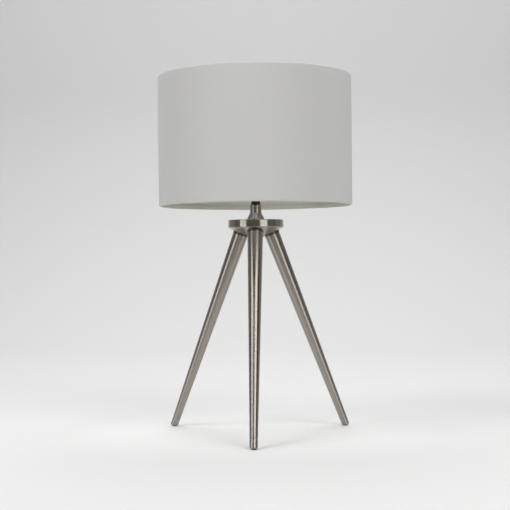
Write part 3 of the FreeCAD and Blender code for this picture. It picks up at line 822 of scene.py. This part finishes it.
class LAMP_OT_shade_frame(bpy.types.Operator):
    """Coat the wire frame and add the welds between arms and rings"""
    bl_idname = "lamp.shade_frame"
    bl_label = "Shade frame"

    def execute(self, context):
        settings = context.scene.lamp_shade
        coat = moulding("white_coat", tuple(settings.wire), 0.38, grain_scale=1500.0, bump=0.2)
        for node in ("shade_fitter_ring", "shade_arms", "shade_bottom_ring", "shade_top_ring"):
            paint(node, coat)
        wire = settings.wire_radius
        arm_azimuths = (90.0, 210.0, 330.0)
        ring_weld, disc_weld = (1.15, 1.35, 0.7), (0.9, 1.5, 1.12)
        ripples, ripple_height = (2600, 2300, 2900), 0.06 * MM
        ring_low, ring_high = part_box("shade_bottom_ring")
        ring_circle = ring_high[0] - wire
        ring_z = (ring_low[2] + ring_high[2]) / 2
        disc_low, disc_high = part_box("shade_fitter_ring")
        bm = bmesh.new()
        for azimuth in arm_azimuths:
            turn = Matrix.Rotation(math.radians(azimuth), 4, "Z")
            for spot, size in (
                    ((ring_circle, 0, ring_z + wire), ring_weld),
                    ((disc_high[0], 0, (disc_low[2] + disc_high[2]) / 2), disc_weld)):
                scale = Matrix.Diagonal((*[value * wire for value in size], 1))
                bmesh.ops.create_icosphere(
                    bm, subdivisions=3, radius=1.0, matrix=turn @ Matrix.Translation(spot) @ scale)
        for vertex in bm.verts:
            ripple = math.prod(math.sin(value * waves) for value, waves in zip(vertex.co, ripples))
            vertex.co += vertex.co.normalized() * ripple * ripple_height
        keep_mesh("shade_welds", bm, "shade", coat)
        return {"FINISHED"}


class LAMP_OT_lampholder(bpy.types.Operator):
    """Finish the lampholder and cut the thread that takes the shade nut"""
    bl_idname = "lamp.lampholder"
    bl_label = "Lampholder"

    def execute(self, context):
        settings = context.scene.lamp_holder
        black = moulding("black_moulding", tuple(settings.plastic), 0.36)
        for node in ("lampholder_cap", "lampholder_body", "cord_bush"):
            paint(node, black)
        paint("shade_nut", moulding("nut_moulding", tuple(settings.plastic), 0.42))
        paint("switch_block", moulding("white_block", (0.62, 0.60, 0.56), 0.6))
        brass = brushed_metal("brass", (0.66, 0.48, 0.24), 0.24, 0.3 * MM)
        for node in ("screw_shell", "centre_contact", "switch_shaft"):
            paint(node, brass)
        paint("switch_knob", moulding("knob_moulding", tuple(settings.plastic), 0.33))
        self.add_skirt_thread(settings, black)
        self.add_nut_ribs(settings, nodes["shade_nut"].data.materials[0])
        return {"FINISHED"}

    def add_skirt_thread(self, settings, material):
        """Rounded thread on the skirt, as a band just over its surface."""
        skirt, sunk, fade_length = 19.5 * MM, 0.15 * MM, 0.8 * MM
        above_seat, below_rim, bed = 1.0 * MM, 1.2 * MM, 0.02 * MM
        rows_per_turn, steps = 12, 144
        root = skirt - sunk
        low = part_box("shade_fitter_ring")[0][2] + above_seat
        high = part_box("lampholder_body")[1][2] - below_rim
        rows = int((high - low) / settings.skirt_pitch * rows_per_turn)
        heights = spread(low, high, rows)
        profile = [(skirt, z) for z in heights] + [(root, high), (root, low)]

        def place(angle, r, z, number):
            """Raise the crest of the thread, and fade it out at both ends."""
            if number < len(heights):
                turn = z / settings.skirt_pitch - angle / TURN
                crest = 0.5 + 0.5 * math.cos(TURN * turn)
                fade = min(1.0, (z - low) / fade_length, (high - z) / fade_length)
                r += settings.skirt_depth * crest * max(0.0, fade) - bed
            return r, z

        bm = turned_mesh(bmesh.new(), profile, steps, place)
        keep_mesh("skirt_thread", bm, "stand", material)

    def add_nut_ribs(self, settings, material):
        """Rounded ribs round the grip of the shade nut."""
        low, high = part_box("shade_nut")
        grip, sunk, rib = 23.0 * MM, 0.1 * MM, 0.55 * MM
        base, half_breadth, sides = grip - sunk, rib * 1.3, 6
        flange, chamfer_foot, chamfer_head = 2.5 * MM, 0.6 * MM, 0.05 * MM
        stations = ((low[2] + flange, rib), (high[2] - chamfer_foot, rib),
                    (high[2] - chamfer_head, rib * 0.4))
        bm = bmesh.new()
        for index in range(settings.nut_ribs):
            turn = Matrix.Rotation(TURN * index / settings.nut_ribs, 4, "Z")
            rows = []
            for z, size in stations:
                outline = [(base + size * math.sin(a), half_breadth * math.cos(a), z)
                           for a in spread(0, math.pi, sides)]
                rows.append([bm.verts.new(turn @ Vector(point)) for point in outline])
            for lower, upper in zip(rows, rows[1:]):
                for a in range(sides):
                    bm.faces.new((lower[a], lower[a + 1], upper[a + 1], upper[a]))
                bm.faces.new((lower[sides], lower[0], upper[0], upper[sides]))
            bm.faces.new(rows[0][::-1])
            bm.faces.new(rows[-1])
        bmesh.ops.recalc_face_normals(bm, faces=bm.faces)
        keep_mesh("shade_nut_ribs", bm, "shade_clamp", material)


class LAMP_OT_bulb(bpy.types.Operator):
    """Give the bulb its white glass and roll the thread of its cap"""
    bl_idname = "lamp.bulb"
    bl_label = "Bulb"

    def execute(self, context):
        settings = context.scene.lamp_holder
        paint("bulb_globe", coated_glass())
        metal = brushed_metal("bulb_metal", (0.62, 0.62, 0.63), 0.22, 0.5 * MM)
        paint("bulb_tip", metal)
        paint("bulb_insulator", moulding("bulb_insulator", (0.012, 0.012, 0.014), 0.15, coat=0.6))
        low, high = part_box("bulb_cap")
        mouth = high[0]
        wall, run_in, fade_length, rows = 0.4 * MM, 0.5 * MM, 2.0 * MM, 70
        cap = mouth - 0.95 * MM
        thread_top = low[2] + 14.5 * MM
        straight = high[2] - 4.0 * MM
        heights = spread(low[2], straight, rows)
        outer = [(cap, z) for z in heights] + [(mouth, high[2])]
        inner = [(mouth - wall, high[2])] + [(cap - wall, z) for z in reversed(heights)]

        def place(angle, r, z, number):
            """Rolled thread: the whole thin wall goes in and out."""
            if low[2] + run_in < z < thread_top:
                turn = z / settings.cap_pitch - angle / TURN
                fade = min(1.0, (z - low[2]) / fade_length, (thread_top - z) / fade_length)
                r -= settings.cap_depth * (0.5 - 0.5 * math.cos(TURN * turn)) * fade
            return r, z

        bm = turned_mesh(bmesh.new(), outer + inner, SMALL_ROUND, place)
        keep_mesh("bulb_screw_cap", bm, "bulb", metal, ("bulb_cap",))
        return {"FINISHED"}


class LAMP_OT_stage(bpy.types.Operator):
    """Set the floor, backdrop, curtain, lights and camera"""
    bl_idname = "lamp.stage"
    bl_label = "Stage"

    def execute(self, context):
        settings = context.scene.lamp_stage
        self.add_sweep(settings)
        self.add_room(settings)
        self.add_curtain(settings)
        self.add_lights(settings)
        self.add_camera()
        context.scene.view_settings.view_transform = "Standard"
        return {"FINISHED"}

    def add_sweep(self, settings):
        """Floor that curves up into the backdrop."""
        half_width = 4.0
        front, back, bend, top = -3.0, 1.6, 0.9, 4.0
        bend_steps = 24
        line = [(front, 0.0), (0.0, 0.0)]
        line += [(back + x, bend + z) for x, z in arc_points((0, 0), bend, -90, 0, bend_steps)]
        line += [(back + bend, top)]
        bm = bmesh.new()
        left = [bm.verts.new((-half_width, y, z)) for y, z in line]
        right = [bm.verts.new((half_width, y, z)) for y, z in line]
        for index in range(len(line) - 1):
            bm.faces.new((left[index], right[index], right[index + 1], left[index + 1]))
        stage_mesh("studio_sweep", bm, self.sweep_paper(settings), smooth=True)

    def sweep_paper(self, settings):
        """Pale paper, paler under the lamp as a painted pool of light that lifts the lamp's own shadow,
        greyer up the backdrop as painted shade, and dark in front of its edge.
        """
        painted_light_scale, painted_light_gain = 3.3, 2.2
        depth_share, painted_shade_from, painted_shade_to = 0.35, -0.1, 2.2
        paper_edge, dark_from = -0.64, -0.84
        material, tree, shader = new_material("studio_paper")
        where = object_space(tree)
        place = split_vector(tree, where)
        # Painted light: a paler round patch on the floor under the lamp.
        spot = add_node(tree, "ShaderNodeTexGradient", gradient_type="SPHERICAL")
        tree.links.new(mapped(tree, where, {"Scale": (painted_light_scale,) * 3}), spot.inputs["Vector"])
        near = maths(tree, "MINIMUM", maths(tree, "MULTIPLY", spot.outputs["Fac"], painted_light_gain), 1.0)
        floor = mix_colour(tree, near, settings.floor, settings.floor_painted_light)
        # Painted shade: the paper greys up the backdrop.
        rise = maths(tree, "ADD", place["Z"], maths(tree, "MULTIPLY", place["Y"], depth_share))
        tone = mix_colour(tree, ramp(tree, rise, painted_shade_from, painted_shade_to), floor, tuple(settings.wall))
        forward = ramp(tree, place["Y"], paper_edge, dark_from, interpolation_type="SMOOTHSTEP")
        whole = mix_colour(tree, forward, tone, tuple(settings.curtain))
        tree.links.new(whole, shader.inputs["Base Color"])
        set_inputs(shader, {"Roughness": 0.95, "Specular IOR Level": 0.1})
        return material

    def add_room(self, settings):
        """Even light from the room."""
        world = bpy.data.worlds.new("room")
        world.use_nodes = True
        set_inputs(world.node_tree.nodes["Background"], {"Color": (*settings.room, 1), "Strength": 1.0})
        bpy.context.scene.world = world

    def add_curtain(self, settings):
        """Dark curtain round the front of the room, which gives the metal its dark bands."""
        radius, height = 2.05, 2.6
        left_end, right_end, steps = math.radians(-96), math.radians(92), 40
        bm = bmesh.new()
        rows = []
        for angle in spread(left_end, right_end, steps):
            x, y = radius * math.sin(angle), -radius * math.cos(angle)
            rows.append((bm.verts.new((x, y, 0.0)), bm.verts.new((x, y, height))))
        for left, right in zip(rows, rows[1:]):
            bm.faces.new((left[0], right[0], right[1], left[1]))
        material, _, shader = new_material("studio_curtain")
        set_inputs(shader, {
            "Base Color": (*settings.curtain, 1), "Roughness": 1.0, "Specular IOR Level": 0.0})
        curtain = stage_mesh("studio_curtain", bm, material)
        curtain.visible_camera = False

    def add_area(self, name, radiance, azimuth, distance, height, width, length, target):
        """A soft area light that faces a point; azimuth 0 is in front of the lamp."""
        light = bpy.data.lights.new(name, "AREA")
        light.shape = "RECTANGLE"
        light.size = width
        light.size_y = length
        light.energy = radiance * math.pi * width * length
        lamp = add_object(name, light)
        angle = math.radians(azimuth)
        lamp.location = (distance * math.sin(angle), -distance * math.cos(angle), height)
        aim = Vector(target) - lamp.location
        lamp.rotation_euler = aim.to_track_quat("-Z", "Y").to_euler()
        lamp.visible_camera = False

    def add_lights(self, settings):
        """Two tall strips in front, a key high on the left, a light high in front and a wide one overhead."""
        self.add_area("strip_left", settings.strip_left_radiance, azimuth=-52.0, distance=1.7, height=1.3,
                      width=0.85, length=2.5, target=(0, 0, 1.15))
        self.add_area("strip_right", settings.strip_right_radiance, azimuth=35.0, distance=1.7, height=1.3,
                      width=0.95, length=2.5, target=(0, 0, 1.15))
        self.add_area("key", settings.key_radiance, azimuth=-48.0, distance=1.4, height=2.3,
                      width=0.8, length=0.8, target=(0, 0, 0.2))
        self.add_area("front", settings.front_radiance, azimuth=14.0, distance=1.5, height=3.0,
                      width=1.2, length=1.2, target=(0, 0, 0.5))
        self.add_area("overhead", settings.overhead_radiance, azimuth=180.0, distance=1.3, height=2.6,
                      width=3.2, length=2.2, target=(0, 1.1, 0))

    def add_camera(self):
        """Camera fitted to the rims, hub and legs."""
        azimuth, tilt = math.radians(2.22), math.radians(-0.56)
        distance, height = 1.8449, 0.27563
        focal_px, axis_x, axis_y, side = 1167.6, 256.2, 258.36, 510
        camera = bpy.data.cameras.new("camera")
        camera.sensor_width = 36.0
        camera.lens = focal_px / side * camera.sensor_width
        camera.shift_x = 0.5 - axis_x / side
        camera.shift_y = axis_y / side - 0.5
        camera.dof.use_dof = False
        eye = add_object("camera", camera)
        look = Matrix.Rotation(azimuth, 4, "Z") @ Matrix.Rotation(math.pi / 2, 4, "X")
        roll = Matrix.Rotation(tilt, 4, "Z")
        eye.matrix_world = Matrix.Translation(
            (distance * math.sin(azimuth), -distance * math.cos(azimuth), height)) @ look @ roll
        bpy.context.scene.camera = eye


class LAMP_PT_panel(bpy.types.Panel):
    """Lists the lamp's pieces in the sidebar"""
    bl_label = "Tripod table lamp"
    bl_idname = "LAMP_PT_panel"
    bl_space_type = "VIEW_3D"
    bl_region_type = "UI"
    bl_category = "Lamp"

    def draw(self, context):
        for operator in OPERATORS:
            self.layout.operator(operator.bl_idname)
        for name, group in SETTINGS.items():
            box = self.layout.box()
            box.label(text=group.__doc__)
            for prop in group.__annotations__:
                box.prop(getattr(context.scene, name), prop)


OPERATORS = (
    LAMP_OT_stand,
    LAMP_OT_shade_cover,
    LAMP_OT_shade_liner,
    LAMP_OT_shade_frame,
    LAMP_OT_lampholder,
    LAMP_OT_bulb,
    LAMP_OT_stage,
)


def register():
    """Register the settings, operators and panel."""
    for name, group in SETTINGS.items():
        bpy.utils.register_class(group)
        setattr(bpy.types.Scene, name, bpy.props.PointerProperty(type=group))
    for operator in OPERATORS:
        bpy.utils.register_class(operator)
    bpy.utils.register_class(LAMP_PT_panel)


def unregister():
    """Undo register."""
    bpy.utils.unregister_class(LAMP_PT_panel)
    for operator in reversed(OPERATORS):
        bpy.utils.unregister_class(operator)
    for name, group in SETTINGS.items():
        delattr(bpy.types.Scene, name)
        bpy.utils.unregister_class(group)


def main():
    """Make every piece and the stage."""
    register()
    for operator in OPERATORS:
        family, name = operator.bl_idname.split(".")
        getattr(getattr(bpy.ops, family), name)()


if __name__ == "__main__":
    main()
